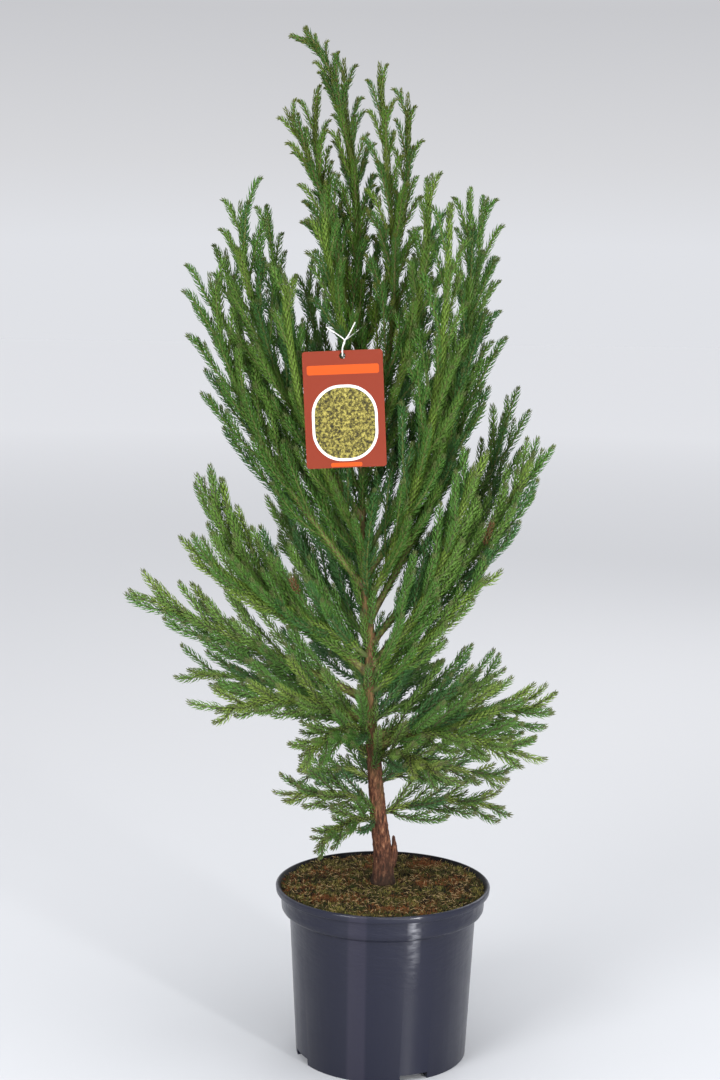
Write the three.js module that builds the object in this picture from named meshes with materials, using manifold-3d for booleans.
// A young Japanese cedar (cryptomeria) in its black nursery pot, with its hanging label.
// Millimetres, +Z up, +X to the right, +Y to the back. The origin is the middle of the pot's flat underside.
//
// The plant is a trunk with a spiral of plumes. A plume is one stem that sweeps out and up from the trunk,
// with side shoots round it. The first stretch of a large plume is a bare bough, a node of its own.
// Everything that carries needles is one mass, a node that starts clear of its bough or of the trunk.
import * as THREE from "three";
import { mergeVertices } from "three/addons/utils/BufferGeometryUtils.js";
import Module from "manifold-3d";

const wasm = await Module();
wasm.setup();

// ---------------------------------------------------------------- driving sizes

const GAP = 0.3; // between pieces that touch

const POT_HEIGHT = 182;
const POT_RIM_RADIUS = 110.7;
const POT_BASE_RADIUS = 88.5;
const POT_WALL = 2.2;
const LIP_DEPTH = 6.8;
const LIP_UNDERCUT = 1.2; // from the foot of the lip down to the collar
const LIP_DRAFT = 0.5; // what the lip gains upwards
const LIP_ROUND = 1.5; // rounding of the lip's outer edge
const LIP_FLAT = 2; // width of the flat top of the lip
const COLLAR_RADIUS = 104.9;
const COLLAR_FLARE = 0.4; // what the collar gains up to the lip
const COLLAR_ROUND = 4.5; // height in which the foot of the collar turns upright
const COLLAR_FOOT_STEP = 0.5; // how far that foot stands in
const COLLAR_FOOT = 157.5; // height of the crease under the collar
const BODY_TOP = 151.5; // where the body meets the shoulder under the collar
const BODY_TOP_RADIUS = 96.1;
const SHOULDER_OUT = 6.7; // the flat step from the body out to the collar
const SHOULDER_RISE = 3.5;
const FOOT_RING_WIDTH = 8.5;
const FLOOR_RISE = 5; // the panel of the base stands this far off the ground
const FLOOR_THICKNESS = 3;
const HUB_RADIUS = 25; // flat middle of the base, which reaches the ground again
const NOTCH_WIDTH = 30;
const NOTCH_HEIGHT = 7;
const NOTCH_HEADINGS = [22, 112, 202, 292];
const DRAIN_COUNT = 6;
const DRAIN_RADIUS = 6;
const DRAIN_RING = 56;
const DRAIN_SIDES = 8;
const POT_SEGMENTS = 28;

const SOIL_TOP = 179; // the flat place that the trunk stands on
const SOIL_EDGE = 176; // height of the moss at the pot's wall
const SOIL_FLAT_RADIUS = 22;
const SOIL_SHOULDER = 0.55; // share of the way out where the mound begins to fall
const SOIL_SHOULDER_DROP = 0.6;

// The trunk's line: a foot that stands upright, then a lean to the left that grows towards the leader.
const TRUNK_LINE = [
  [0, 8, SOIL_TOP + GAP],
  [0, 8, 205],
  [-6, 6, 255],
  [-11, 4, 315],
  [-17, 2, 375],
  [-16, 0, 437],
  [-22, 0, 482],
  [-25, 0, 545],
  [-30, 0, 680],
  [-33, 0, 795],
  [-39, 0, 901],
  [-48, 0, 942],
];
const TRUNK_FOOT_RADIUS = 9.6;
const TRUNK_FOOT = 218; // height where the flare has run out
const TRUNK_TIP_RADIUS = 2;
const TRUNK_FLARE = 3.6; // what the roots add at the foot
const TRUNK_FLARE_HEIGHT = 9;
const TRUNK_TAPER = 2.4;
const TRUNK_SIDES = 8;
const TRUNK_RINGS = 22;
const TRUNK_RING_POWER = 1.35; // over 1, so that the rings stand closer where the foot flares

// The dead stub on the right of the foot: its line, and its profile as [radius, share of its length].
const SNAG_LINE = [
  [3, 8, 194],
  [15, 7, 201],
  [10, 7, 231],
];
const SNAG_PROFILE = [
  [0, 0],
  [4.5, 0],
  [4, 0.45],
  [2.4, 0.8],
  [0, 1],
];
const SNAG_SIDES = 6;

const LABEL_WIDTH = 77;
const LABEL_HEIGHT = 112;
const LABEL_THICKNESS = 0.8;
const LABEL_CORNER = 3;
const LABEL_HOLE_RADIUS = 3;
const LABEL_HOLE_DROP = 5; // of its middle under the top edge
const LABEL_HOLE = [-47, 726]; // x and z of the hole
const LABEL_DEPTH = -64; // y of its face
const LABEL_TURN = 3; // degrees in its own plane
const TIE_RADIUS = 0.8;
const TIE_HEIGHT = 751; // where it goes round the trunk
const TIE_STEP = 6;
const TIE_ROOM = 2 * GAP; // between the loop and the bark
const TIE_LOOP_HEADINGS = [200, 150, 90, 30, -20];
const TIE_TWIST = [2, 6, 14]; // from the hole, where loop, ring and loose ends are twisted together
const TIE_RING_RADIUS = 3.6;
const TIE_RING_STEPS = 8;
const TIE_ENDS = [[-18, 13], [10, 18]]; // sideways and up from the twist
const TIE_END_FORWARD = 3; // and to the front
const TIE_END_BOW = [0.4, 0.5]; // shares of the way sideways and up at which an end bows
const TIE_BOW_FORWARD = 1;
const TIE_SIDES = 5;
const TIE_ACROSS = new THREE.Vector3(0.1, 0.2, 1); // a direction that no stretch of the wire runs along

const SHOOT_RADIUS = 8.4; // over the needles
const SHOOT_CORE = 4.6; // the thick of the needles, which only their points stand out of
const TIER_LENGTH = 34; // of shoot for each ring of needles
const STEM_RADIUS = 8.8;
const STEM_CORE = 3;
const RING_AT = 0.7; // where in its length a tier is widest
const GROOVE_AFTER = 0.14; // and where it has dropped back to the core, from there
const THINNING = 0.3; // of a shoot from its root to its tip
const STEM_BEND_LENGTH = 50; // of stem for each ring of its core
const NEEDLED_TIP = 0.3; // share of a stem past its side shoots, needled like them
const SHOOT_SIDES = 3;
const TIER_TURN = THREE.MathUtils.degToRad(60); // each tier of needles stands between those of the last
const GOLDEN_TURN = THREE.MathUtils.degToRad(137.5);
const LEAVE_ANGLE = THREE.MathUtils.degToRad(33); // a side shoot leaves its stem at this angle
const CLOSE_ANGLE = THREE.MathUtils.degToRad(8); // and ends nearly along it
const OPEN_LEAVE = THREE.MathUtils.degToRad(12); // more, on the open old plumes low down
const OPEN_CLOSE = THREE.MathUtils.degToRad(16);
const UPTURN = 0.4; // and a little more upright
const YOUNG_TIP = 560; // plumes with tips over this height are close and upright
const OLD_TIP = 340; // and those with tips under this are open and level
const SHORTENING = 0.62; // of the side shoots towards the tip of their stem
const LAST_SHOOT_AT = 0.93; // share of the run where the last of them leaves
const ELBOW_AT = 0.42; // share of a side shoot's length before it turns
const PLACE_SPREAD = 0.5; // how unevenly the side shoots follow each other, of their distance
const LENGTH_SPREAD = 0.4; // and how unlike they are in length
const FIRST_SEED = 0.11;
const LENGTH_SEED = 0.37;

// Each plume: height on the trunk, heading in degrees (0 right, 90 back, 180 left, 270 front), reach of the
// tip from the trunk, height of the tip, slope at the trunk, slope at the tip, share of the run that is a
// bare bough (0 for none), number of side shoots, longest side shoot, sideways nod of the tip to the left.
const PLUMES = {
  skirt_left: [262, 201, 100, 284, 30, 5, 0, 6, 58, 0],
  skirt_left_low: [246, 230, 96, 240, 25, -25, 0, 6, 52, 0],
  skirt_left_back: [288, 145, 96, 282, 24, -10, 0, 5, 52, 0],
  skirt_right: [252, 347, 125, 270, 28, -8, 0, 7, 62, 0],
  skirt_right_back: [284, 19, 146, 280, 32, -12, 0, 7, 62, 0],
  skirt_back: [300, 95, 140, 312, 28, 5, 0, 6, 62, 0],
  skirt_front: [308, 304, 112, 322, 40, -10, 0, 8, 66, 0],
  low_right: [332, 350, 174, 378, 34, 14, 0.28, 10, 90, 0],
  low_right_front: [322, 324, 182, 346, 34, -5, 0.28, 9, 85, 0],
  low_right_back: [350, 30, 150, 386, 32, 22, 0, 8, 85, 0],
  low_back: [362, 66, 168, 396, 38, 22, 0, 8, 80, 0],
  low_left: [374, 186, 228, 484, 28, 26, 0.26, 10, 105, 0],
  low_left_front: [350, 214, 180, 384, 28, -10, 0.28, 9, 85, 0],
  low_left_back: [356, 161, 197, 390, 20, 4, 0, 9, 88, 0],
  low_front: [338, 235, 116, 342, 34, -14, 0, 8, 74, 0],
  low_back_left: [378, 112, 180, 430, 38, 22, 0, 8, 80, 0],
  mid_left: [402, 182, 161, 588, 42, 75, 0.25, 11, 115, 0],
  mid_left_back: [430, 130, 152, 566, 44, 65, 0, 8, 100, 0],
  mid_left_front: [418, 207, 188, 540, 40, 46, 0, 10, 100, 0],
  mid_right: [410, 1, 160, 628, 48, 68, 0.28, 10, 110, 0],
  mid_right_back: [434, 26, 148, 660, 46, 84, 0.25, 9, 115, 0],
  mid_right_low: [396, 330, 114, 622, 52, 76, 0, 9, 95, 0],
  mid_front: [380, 344, 122, 510, 42, 46, 0, 7, 66, 0],
  mid_back: [440, 106, 155, 590, 46, 68, 0, 9, 100, 0],
  tall_right: [458, 358, 92, 880, 60, 94, 0.24, 12, 110, 0],
  tall_right_front: [470, 312, 108, 860, 57, 90, 0, 11, 110, 0],
  tall_right_out: [500, 17, 112, 775, 52, 84, 0.24, 9, 110, 0],
  tall_right_back: [520, 34, 138, 864, 55, 90, 0, 11, 110, 0],
  outer_left: [490, 190, 156, 800, 52, 82, 0.26, 11, 115, 0],
  outer_left_back: [520, 165, 146, 822, 52, 84, 0, 9, 110, 0],
  big_left: [560, 193, 124, 868, 56, 88, 0.26, 12, 110, 0],
  big_left_back: [585, 148, 114, 856, 58, 86, 0, 9, 100, 0],
  behind_left: [610, 118, 122, 800, 57, 82, 0, 7, 90, 0],
  tall_back: [560, 61, 130, 858, 55, 85, 0, 10, 100, 0],
  tall_left_front: [535, 221, 104, 802, 54, 86, 0, 8, 95, 0],
  upper_left: [716, 197, 62, 956, 74, 58, 0, 9, 80, 14],
  upper_left_in: [764, 153, 34, 975, 72, 92, 0, 7, 70, 14],
  upper_right: [640, 325, 46, 998, 62, 94, 0.24, 11, 85, 24],
  upper_right_out: [720, 31, 56, 974, 62, 92, 0, 8, 75, 4],
  upper_right_in: [600, 312, 88, 892, 62, 92, 0, 9, 85, 0],
  upper_front: [690, 246, 66, 868, 58, 88, 0, 6, 70, 8],
  upper_back: [782, 80, 52, 1008, 72, 92, 0, 7, 70, 26],
};
const LEADER = { rise: 80, nod: 45, shoots: 7, longest: 42, seed: 0.5, risePull: 0.45, nodPull: 0.35 };

const STEM_PULL = 0.4; // share of the way to the tip that a stem keeps its slope for
const BOUGH_SIDES = 5;
const BOUGH_RINGS = 4;
const BOUGH_TAPER = 0.03; // radius that a bough gains towards the trunk, for each millimetre of it
const BOUGH_SHARE = 0.7; // a bough is no thicker than this share of the trunk where it leaves

// ---------------------------------------------------------------- seeded rule and lines

const UP = new THREE.Vector3(0, 0, 1);
const LEFT = new THREE.Vector3(-1, 0, 0);

// An even, repeatable spread of values from 0 to 1: the k-th value of the series that a seed starts.
function spread(k, seed) {
  return (seed + k * 0.61803398875) % 1;
}

function headingVector(degrees) {
  const angle = THREE.MathUtils.degToRad(degrees);
  return new THREE.Vector3(Math.cos(angle), Math.sin(angle), 0);
}

function slopeVector(heading, degrees) {
  const angle = THREE.MathUtils.degToRad(degrees);
  return heading.clone().multiplyScalar(Math.cos(angle)).addScaledVector(UP, Math.sin(angle));
}

const trunkCurve = new THREE.CatmullRomCurve3(TRUNK_LINE.map((point) => new THREE.Vector3(...point)));

// The point of the trunk's line at a height, found by halving.
function trunkAt(height) {
  let low = 0;
  let high = 1;
  for (let i = 0; i < 24; i++) {
    const middle = (low + high) / 2;
    if (trunkCurve.getPoint(middle).z < height) low = middle;
    else high = middle;
  }
  return trunkCurve.getPoint(low);
}

function trunkRadius(height) {
  const top = TRUNK_LINE.at(-1)[2];
  const share = (height - TRUNK_FOOT) / (top - TRUNK_FOOT);
  const shaft = (TRUNK_FOOT_RADIUS - TRUNK_TIP_RADIUS) * Math.max(1 - share, 0) ** TRUNK_TAPER;
  return TRUNK_TIP_RADIUS + shaft + TRUNK_FLARE * Math.exp((SOIL_TOP - height) / TRUNK_FLARE_HEIGHT);
}

// ---------------------------------------------------------------- solids

// A closed geometry as a manifold-3d solid: vertices merged, flat leftovers at the poles dropped.
function toSolid(geometry) {
  const bare = new THREE.BufferGeometry();
  bare.setAttribute("position", geometry.getAttribute("position"));
  bare.setIndex(geometry.getIndex());
  const merged = mergeVertices(bare, 1e-3);
  const index = merged.getIndex().array;
  const triangles = [];
  for (let i = 0; i < index.length; i += 3) {
    const [a, b, c] = [index[i], index[i + 1], index[i + 2]];
    if (a !== b && b !== c && c !== a) triangles.push(a, b, c);
  }
  return new wasm.Manifold(
    new wasm.Mesh({
      numProp: 3,
      vertProperties: merged.getAttribute("position").array,
      triVerts: new Uint32Array(triangles),
    }),
  );
}

// The one body that a join or a cut is meant to leave: a sealed hollow is filled, a loose scrap dropped.
function wholeOf(solid) {
  return solid.decompose().reduce((best, body) => (body.volume() > best.volume() ? body : best));
}

function toMesh(name, solid, material) {
  const data = solid.getMesh();
  const geometry = new THREE.BufferGeometry();
  geometry.setAttribute("position", new THREE.BufferAttribute(new Float32Array(data.vertProperties), 3));
  geometry.setIndex(new THREE.BufferAttribute(new Uint32Array(data.triVerts), 1));
  const facets = geometry.toNonIndexed();
  facets.computeVertexNormals();
  const mesh = new THREE.Mesh(facets, material);
  mesh.name = name;
  return mesh;
}

// A turned shape, its profile given as [radius, height] from the axis to the axis, standing on +Z.
function turned(profile, segments) {
  const points = profile.map(([radius, height]) => new THREE.Vector2(radius, height));
  return toSolid(new THREE.LatheGeometry(points, segments).rotateX(Math.PI / 2));
}

// A turned shape bent along a curve. The profile's height runs from 0 to 1 along the curve, side is a
// direction that the curve never takes, and the rings turn by turn as the shape goes on.
function bent(profile, sides, curve, side, turn = 0) {
  const points = profile.map(([radius, along]) => new THREE.Vector2(radius, along));
  const geometry = new THREE.LatheGeometry(points, sides);
  const position = geometry.getAttribute("position");
  for (let i = 0; i < position.count; i++) {
    const along = position.getY(i);
    const tangent = curve.getTangent(along);
    const across = side.clone().addScaledVector(tangent, -side.dot(tangent)).normalize();
    const third = across.clone().cross(tangent);
    const angle = turn * along;
    const x = position.getX(i) * Math.cos(angle) - position.getZ(i) * Math.sin(angle);
    const z = position.getX(i) * Math.sin(angle) + position.getZ(i) * Math.cos(angle);
    const place = curve.getPoint(along).addScaledVector(across, x).addScaledVector(third, z);
    position.setXYZ(i, place.x, place.y, place.z);
  }
  return toSolid(geometry);
}

// The outline of a needled shoot: from a pointed root it widens forward into a ring of needle points, then
// drops back to its core, tier after tier, to a blunt tip.
function needledProfile(core, wide, tiers) {
  const profile = [[0, 0]];
  for (let tier = 0; tier < tiers; tier++) {
    const share = (tier + 1) / tiers;
    const thin = 1 - THINNING * share;
    profile.push([wide * thin, (tier + RING_AT) / tiers]);
    if (tier < tiers - 1) profile.push([core * thin, (tier + RING_AT + GROOVE_AFTER) / tiers]);
  }
  profile.push([0, 1]);
  return profile;
}

function taperedProfile(startRadius, endRadius, rings) {
  const profile = [[0, 0]];
  for (let ring = 0; ring <= rings; ring++) {
    const share = ring / rings;
    profile.push([startRadius + (endRadius - startRadius) * share, share]);
  }
  profile.push([0, 1]);
  return profile;
}

// Pieces already in place, with their boxes, so that a new one can be tested against its neighbours.
const placed = [];

function keepClearOf(owner, solid) {
  placed.push({ owner, solid, box: solid.boundingBox() });
}

function boxesMeet(a, b) {
  return [0, 1, 2].every((axis) => a.min[axis] < b.max[axis] && b.min[axis] < a.max[axis]);
}

function isClear(owner, solid) {
  const box = solid.boundingBox();
  return !placed.some(
    (other) =>
      other.owner !== owner && boxesMeet(box, other.box) && other.solid.intersect(solid).volume() > 0,
  );
}

// ---------------------------------------------------------------- materials

function finish(color, roughness, metalness = 0) {
  return new THREE.MeshStandardMaterial({ color, roughness, metalness, flatShading: true });
}

const barkFinish = finish(0x6b4a36, 0.95);
const boughFinish = finish(0x6f7a35, 0.85);
const foliageFinishes = [0x3f7a33, 0x4a8638, 0x376c34].map((color) => finish(color, 0.8));
const potFinish = finish(0x3b3d4c, 0.42);
const mossFinish = finish(0x5a4f2c, 1);
const labelFinish = finish(0xa83a2c, 0.45);
const tieFinish = finish(0xe4e2dc, 0.6);

// ---------------------------------------------------------------- pot and soil

function makePot() {
  const rim = POT_RIM_RADIUS;
  const floorTop = FLOOR_RISE + FLOOR_THICKNESS;
  const lipFoot = POT_HEIGHT - LIP_DEPTH;
  const ringInside = POT_BASE_RADIUS - FOOT_RING_WIDTH;
  const shell = turned(
    [
      [0, 0],
      [HUB_RADIUS, 0],
      [HUB_RADIUS, FLOOR_RISE],
      [ringInside, FLOOR_RISE],
      [ringInside, 0],
      [POT_BASE_RADIUS, 0],
      [BODY_TOP_RADIUS, BODY_TOP],
      [BODY_TOP_RADIUS + SHOULDER_OUT, BODY_TOP + SHOULDER_RISE],
      [COLLAR_RADIUS - COLLAR_FOOT_STEP, COLLAR_FOOT],
      [COLLAR_RADIUS, COLLAR_FOOT + COLLAR_ROUND],
      [COLLAR_RADIUS + COLLAR_FLARE, lipFoot - LIP_UNDERCUT],
      [rim - LIP_DRAFT, lipFoot],
      [rim, POT_HEIGHT - LIP_ROUND],
      [rim - LIP_ROUND, POT_HEIGHT],
      [rim - LIP_ROUND - LIP_FLAT, POT_HEIGHT],
      [COLLAR_RADIUS + 2 * COLLAR_FLARE - POT_WALL, lipFoot],
      [COLLAR_RADIUS - POT_WALL, COLLAR_FOOT + COLLAR_ROUND],
      [BODY_TOP_RADIUS - POT_WALL, BODY_TOP],
      [POT_BASE_RADIUS - POT_WALL, floorTop],
      [0, floorTop],
    ],
    POT_SEGMENTS,
  );
  const cutters = [];
  for (const heading of NOTCH_HEADINGS) {
    const middle = headingVector(heading).multiplyScalar(POT_BASE_RADIUS - FOOT_RING_WIDTH / 2);
    const notch = new THREE.BoxGeometry(FOOT_RING_WIDTH * 2, NOTCH_WIDTH, NOTCH_HEIGHT * 2);
    notch.rotateZ(THREE.MathUtils.degToRad(heading)).translate(middle.x, middle.y, 0);
    cutters.push(toSolid(notch));
  }
  for (let i = 0; i < DRAIN_COUNT; i++) {
    const middle = headingVector((360 * i) / DRAIN_COUNT).multiplyScalar(DRAIN_RING);
    const drain = new THREE.CylinderGeometry(DRAIN_RADIUS, DRAIN_RADIUS, floorTop * 3, DRAIN_SIDES);
    drain.rotateX(Math.PI / 2).translate(middle.x, middle.y, floorTop);
    cutters.push(toSolid(drain));
  }
  return cutters.reduce((pot, cutter) => pot.subtract(cutter), shell);
}

// The root ball and its moss: it fills the pot, mounded a little towards the trunk.
function makeSoil() {
  return turned(
    [
      [0, FLOOR_RISE + FLOOR_THICKNESS + GAP],
      [POT_BASE_RADIUS - POT_WALL - GAP, FLOOR_RISE + FLOOR_THICKNESS + GAP],
      [BODY_TOP_RADIUS - POT_WALL - GAP, BODY_TOP],
      [COLLAR_RADIUS - POT_WALL - GAP, COLLAR_FOOT + COLLAR_ROUND],
      [COLLAR_RADIUS + 2 * COLLAR_FLARE - POT_WALL - GAP, SOIL_EDGE],
      [COLLAR_RADIUS * SOIL_SHOULDER, SOIL_TOP - SOIL_SHOULDER_DROP],
      [SOIL_FLAT_RADIUS, SOIL_TOP],
      [0, SOIL_TOP],
    ],
    POT_SEGMENTS,
  );
}

// ---------------------------------------------------------------- trunk

function makeTrunk(grow) {
  const profile = [[0, 0]];
  for (let ring = 0; ring <= TRUNK_RINGS; ring++) {
    const along = (ring / TRUNK_RINGS) ** TRUNK_RING_POWER;
    profile.push([trunkRadius(trunkCurve.getPoint(along).z) + grow, along]);
  }
  profile.push([0, 1]);
  return bent(profile, TRUNK_SIDES, trunkCurve, new THREE.Vector3(1, 0, 0));
}

function makeSnag() {
  const line = new THREE.QuadraticBezierCurve3(...SNAG_LINE.map((point) => new THREE.Vector3(...point)));
  return bent(SNAG_PROFILE, SNAG_SIDES, line, new THREE.Vector3(0, 1, 0));
}

// ---------------------------------------------------------------- plumes

function plumeCurve([height, heading, reach, tipHeight, startSlope, endSlope, , , , nod]) {
  const out = headingVector(heading);
  const start = trunkAt(height);
  const tip = start.clone().addScaledVector(out, reach).addScaledVector(LEFT, nod);
  tip.z = tipHeight;
  const pull = start.distanceTo(tip) * STEM_PULL;
  return new THREE.CubicBezierCurve3(
    start,
    start.clone().addScaledVector(slopeVector(out, startSlope), pull),
    tip.clone().addScaledVector(slopeVector(out, endSlope), -pull),
    tip,
  );
}

// The stretch of a curve between two shares of its run, as a curve of its own.
class Stretch extends THREE.Curve {
  constructor(whole, from, to) {
    super();
    this.whole = whole;
    this.from = from;
    this.to = to;
  }
  getPoint(share) {
    return this.whole.getPoint(this.from + (this.to - this.from) * share);
  }
  getTangent(share) {
    return this.whole.getTangent(this.from + (this.to - this.from) * share);
  }
}

// One side shoot of a stem: it leaves at an angle and turns forward and up.
function makeSideShoot(plume, k, grow) {
  const share = (k + 0.5 + PLACE_SPREAD * (spread(k, plume.seed) - 0.5)) / plume.shoots;
  const at = plume.from + (LAST_SHOOT_AT - plume.from) * share;
  const root = plume.curve.getPoint(at);
  const tangent = plume.curve.getTangent(at);
  const third = plume.side.clone().cross(tangent);
  const round = plume.seed * 2 * Math.PI + k * GOLDEN_TURN;
  const away = plume.side.clone().multiplyScalar(Math.cos(round)).addScaledVector(third, Math.sin(round));
  const unlike = 1 + LENGTH_SPREAD * (spread(k, plume.seed + LENGTH_SEED) - 0.5);
  const length = plume.longest * (1 - SHORTENING * share) * unlike;
  const leaveAngle = LEAVE_ANGLE + OPEN_LEAVE * (1 - plume.youth);
  const closeAngle = CLOSE_ANGLE + OPEN_CLOSE * (1 - plume.youth);
  const leave = tangent.clone().multiplyScalar(Math.cos(leaveAngle));
  leave.addScaledVector(away, Math.sin(leaveAngle));
  const close = tangent.clone().multiplyScalar(Math.cos(closeAngle));
  close.addScaledVector(away, Math.sin(closeAngle)).addScaledVector(UP, UPTURN * plume.youth).normalize();
  const elbow = root.clone().addScaledVector(leave, length * ELBOW_AT);
  const tip = elbow.clone().addScaledVector(close, length * (1 - ELBOW_AT));
  const line = new THREE.QuadraticBezierCurve3(root, elbow, tip);
  const across = leave.clone().cross(close).normalize();
  const tiers = Math.max(1, Math.round(length / TIER_LENGTH));
  const profile = needledProfile(SHOOT_CORE + grow, SHOOT_RADIUS + grow, tiers);
  return bent(profile, SHOOT_SIDES, line, across, TIER_TURN * tiers);
}

// A stem is a slim core as far as its side shoots go, and a needled shoot from there to its tip.
function makeStem(plume) {
  const stretch = new Stretch(plume.curve, plume.from, 1);
  const length = stretch.getLength();
  const rings = Math.max(2, Math.round((length * (1 - NEEDLED_TIP)) / STEM_BEND_LENGTH));
  const tiers = Math.max(2, Math.round((length * NEEDLED_TIP) / TIER_LENGTH));
  const core = taperedProfile(STEM_CORE, STEM_CORE, rings).slice(0, -1);
  const tip = needledProfile(SHOOT_CORE, STEM_RADIUS, tiers).slice(1);
  const profile = [
    ...core.map(([radius, along]) => [radius, along * (1 - NEEDLED_TIP)]),
    ...tip.map(([radius, along]) => [radius, 1 - NEEDLED_TIP + along * NEEDLED_TIP]),
  ];
  return bent(profile, SHOOT_SIDES, stretch, plume.side, TIER_TURN * tiers);
}

function makeBough(plume, trunkSpace) {
  const stretch = new Stretch(plume.curve, 0, plume.bare);
  const most = BOUGH_SHARE * trunkRadius(plume.curve.v0.z);
  const thick = Math.min(STEM_CORE + stretch.getLength() * BOUGH_TAPER, most);
  const bough = bent(taperedProfile(thick, STEM_CORE, BOUGH_RINGS), BOUGH_SIDES, stretch, plume.side);
  return wholeOf(bough.subtract(trunkSpace));
}

function makePlumes() {
  return Object.entries(PLUMES).map(([name, row], i) => {
    const curve = plumeCurve(row);
    const bare = row[6];
    return {
      name,
      curve,
      side: headingVector(row[1] + 90),
      bare,
      from: bare > 0 ? bare + GAP / curve.getLength() : 0,
      shoots: row[7],
      longest: row[8],
      seed: spread(i, FIRST_SEED),
      youth: THREE.MathUtils.clamp((row[3] - OLD_TIP) / (YOUNG_TIP - OLD_TIP), 0, 1),
    };
  });
}

function makeLeader() {
  const start = new THREE.Vector3(...TRUNK_LINE.at(-1));
  const lean = trunkCurve.getTangent(1);
  start.addScaledVector(lean, GAP);
  const tip = start.clone().addScaledVector(UP, LEADER.rise).addScaledVector(LEFT, LEADER.nod);
  const curve = new THREE.CubicBezierCurve3(
    start,
    start.clone().addScaledVector(lean, LEADER.rise * LEADER.risePull),
    tip.clone().addScaledVector(LEFT, -LEADER.rise * LEADER.nodPull),
    tip,
  );
  return {
    name: "leader",
    curve,
    side: new THREE.Vector3(0, 1, 0),
    bare: 0,
    from: 0,
    shoots: LEADER.shoots,
    longest: LEADER.longest,
    seed: LEADER.seed,
    youth: 1,
  };
}

// ---------------------------------------------------------------- label and tie

function roundedCard(width, height, corner) {
  const x = width / 2;
  const y = height / 2;
  const card = new THREE.Shape();
  card.moveTo(-x + corner, -y);
  card.lineTo(x - corner, -y);
  card.absarc(x - corner, -y + corner, corner, -Math.PI / 2, 0);
  card.lineTo(x, y - corner);
  card.absarc(x - corner, y - corner, corner, 0, Math.PI / 2);
  card.lineTo(-x + corner, y);
  card.absarc(-x + corner, y - corner, corner, Math.PI / 2, Math.PI);
  card.lineTo(-x, -y + corner);
  card.absarc(-x + corner, -y + corner, corner, Math.PI, 1.5 * Math.PI);
  return card;
}

// The card hangs from its hole, a little turned in its own plane.
function makeLabel() {
  const card = roundedCard(LABEL_WIDTH, LABEL_HEIGHT, LABEL_CORNER);
  const hole = new THREE.Path();
  hole.absarc(0, LABEL_HEIGHT / 2 - LABEL_HOLE_DROP, LABEL_HOLE_RADIUS, 0, 2 * Math.PI);
  card.holes.push(hole);
  const plate = new THREE.ExtrudeGeometry(card, {
    depth: LABEL_THICKNESS,
    bevelEnabled: false,
    curveSegments: 4,
  });
  plate.translate(0, LABEL_HOLE_DROP - LABEL_HEIGHT / 2, 0);
  plate.rotateZ(THREE.MathUtils.degToRad(LABEL_TURN));
  plate.rotateX(Math.PI / 2);
  plate.translate(LABEL_HOLE[0], LABEL_DEPTH + LABEL_THICKNESS, LABEL_HOLE[1]);
  return toSolid(plate);
}

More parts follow.
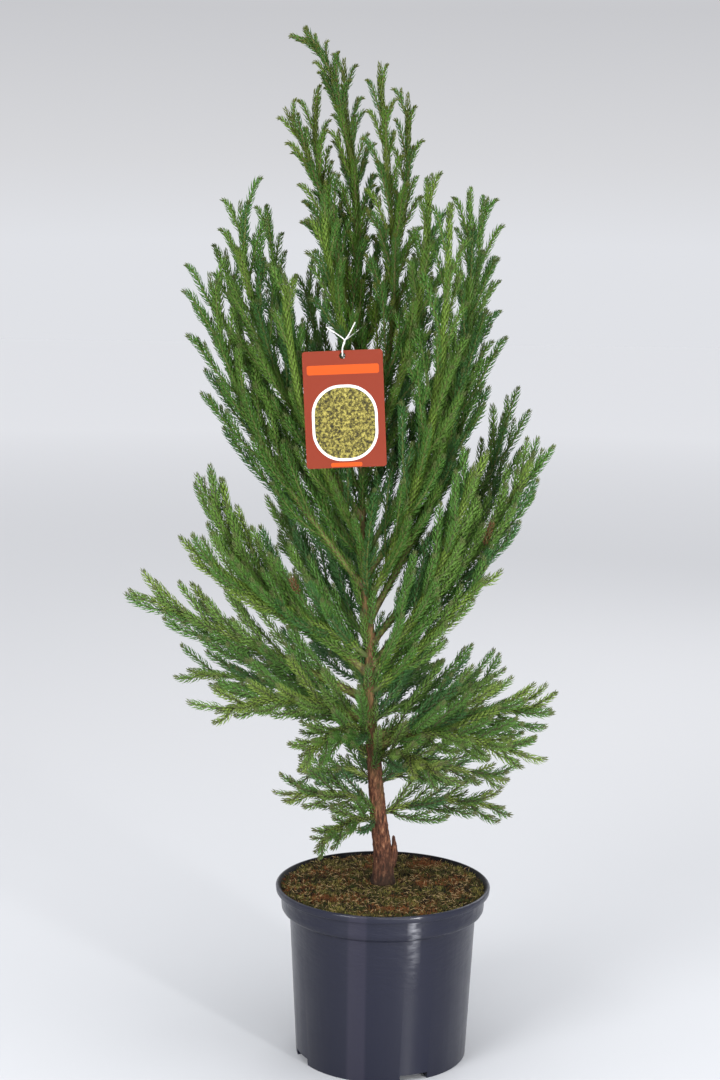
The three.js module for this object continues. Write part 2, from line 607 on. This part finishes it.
// The wire tie: a long loop round the trunk, closed by a twist in front of it, a ring through the label's
// hole and over its edge, and two loose ends that stand out of the twist.
function makeTie() {
  const trunkPoint = trunkAt(TIE_HEIGHT);
  const round = trunkRadius(TIE_HEIGHT) + TIE_RADIUS + TIE_ROOM;
  const hole = new THREE.Vector3(LABEL_HOLE[0], LABEL_DEPTH, LABEL_HOLE[1]);
  const twist = hole.clone().add(new THREE.Vector3(...TIE_TWIST));
  const loop = [twist];
  for (const heading of TIE_LOOP_HEADINGS) {
    loop.push(trunkPoint.clone().addScaledVector(headingVector(heading), round));
  }
  loop.push(twist.clone());
  const ring = [];
  for (let i = 0; i <= TIE_RING_STEPS; i++) {
    const angle = Math.PI / 2 + (i / TIE_RING_STEPS) * 2 * Math.PI;
    const back = LABEL_THICKNESS / 2 + TIE_RING_RADIUS * Math.cos(angle);
    ring.push(hole.clone().add(new THREE.Vector3(0, back, TIE_RING_RADIUS * (1 + Math.sin(angle)))));
  }
  const ends = TIE_ENDS.map(([aside, rise]) => [
    ring[0].clone(),
    twist,
    twist.clone().add(new THREE.Vector3(aside * TIE_END_BOW[0], -TIE_BOW_FORWARD, rise * TIE_END_BOW[1])),
    twist.clone().add(new THREE.Vector3(aside, -TIE_END_FORWARD, rise)),
  ]);
  const strands = [loop, ring, ...ends].map((points) => {
    const line = new THREE.CatmullRomCurve3(points);
    const rings = Math.ceil(line.getLength() / TIE_STEP);
    return bent(taperedProfile(TIE_RADIUS, TIE_RADIUS, rings), TIE_SIDES, line, TIE_ACROSS);
  });
  return wholeOf(wasm.Manifold.union(strands));
}

// ---------------------------------------------------------------- the plant

const trunk = makeTrunk(0).add(makeSnag());
const trunkSpace = makeTrunk(GAP);
const pot = makePot();
const soil = makeSoil();
const label = makeLabel();
const tie = makeTie();
const plumes = [...makePlumes(), makeLeader()];

keepClearOf("trunk", trunkSpace);
keepClearOf("pot", pot);
keepClearOf("label", label);
keepClearOf("tie", tie);

for (const plume of plumes) {
  if (plume.bare > 0) {
    plume.bough = makeBough(plume, trunkSpace);
    keepClearOf(plume.name + "_bough", plume.bough);
  }
  plume.pieces = [plume.name === "leader" ? makeStem(plume) : makeStem(plume).subtract(trunkSpace)];
  plume.pieces.forEach((piece) => keepClearOf(plume.name, piece));
}

// Side shoots go on in turn, one to each plume, so that no plume takes its neighbours' room.
const mostShoots = Math.max(...plumes.map((plume) => plume.shoots));
for (let k = 0; k < mostShoots; k++) {
  for (const plume of plumes.filter((each) => k < each.shoots)) {
    if (!isClear(plume.name, makeSideShoot(plume, k, GAP))) continue;
    const shoot = makeSideShoot(plume, k, 0);
    plume.pieces.push(shoot);
    keepClearOf(plume.name, shoot);
  }
}

const part = new THREE.Group();
const potted = new THREE.Group();
const plant = new THREE.Group();
potted.add(toMesh("pot", pot, potFinish), toMesh("soil", soil, mossFinish));
plant.add(toMesh("trunk", trunk, barkFinish));
plant.add(toMesh("label", label, labelFinish), toMesh("tie", tie, tieFinish));
plumes.forEach((plume, i) => {
  if (plume.bough) plant.add(toMesh(plume.name + "_bough", plume.bough, boughFinish));
  const mass = wholeOf(wasm.Manifold.union(plume.pieces));
  plant.add(toMesh(plume.name, mass, foliageFinishes[i % foliageFinishes.length]));
});
part.add(potted, plant);

export default part;
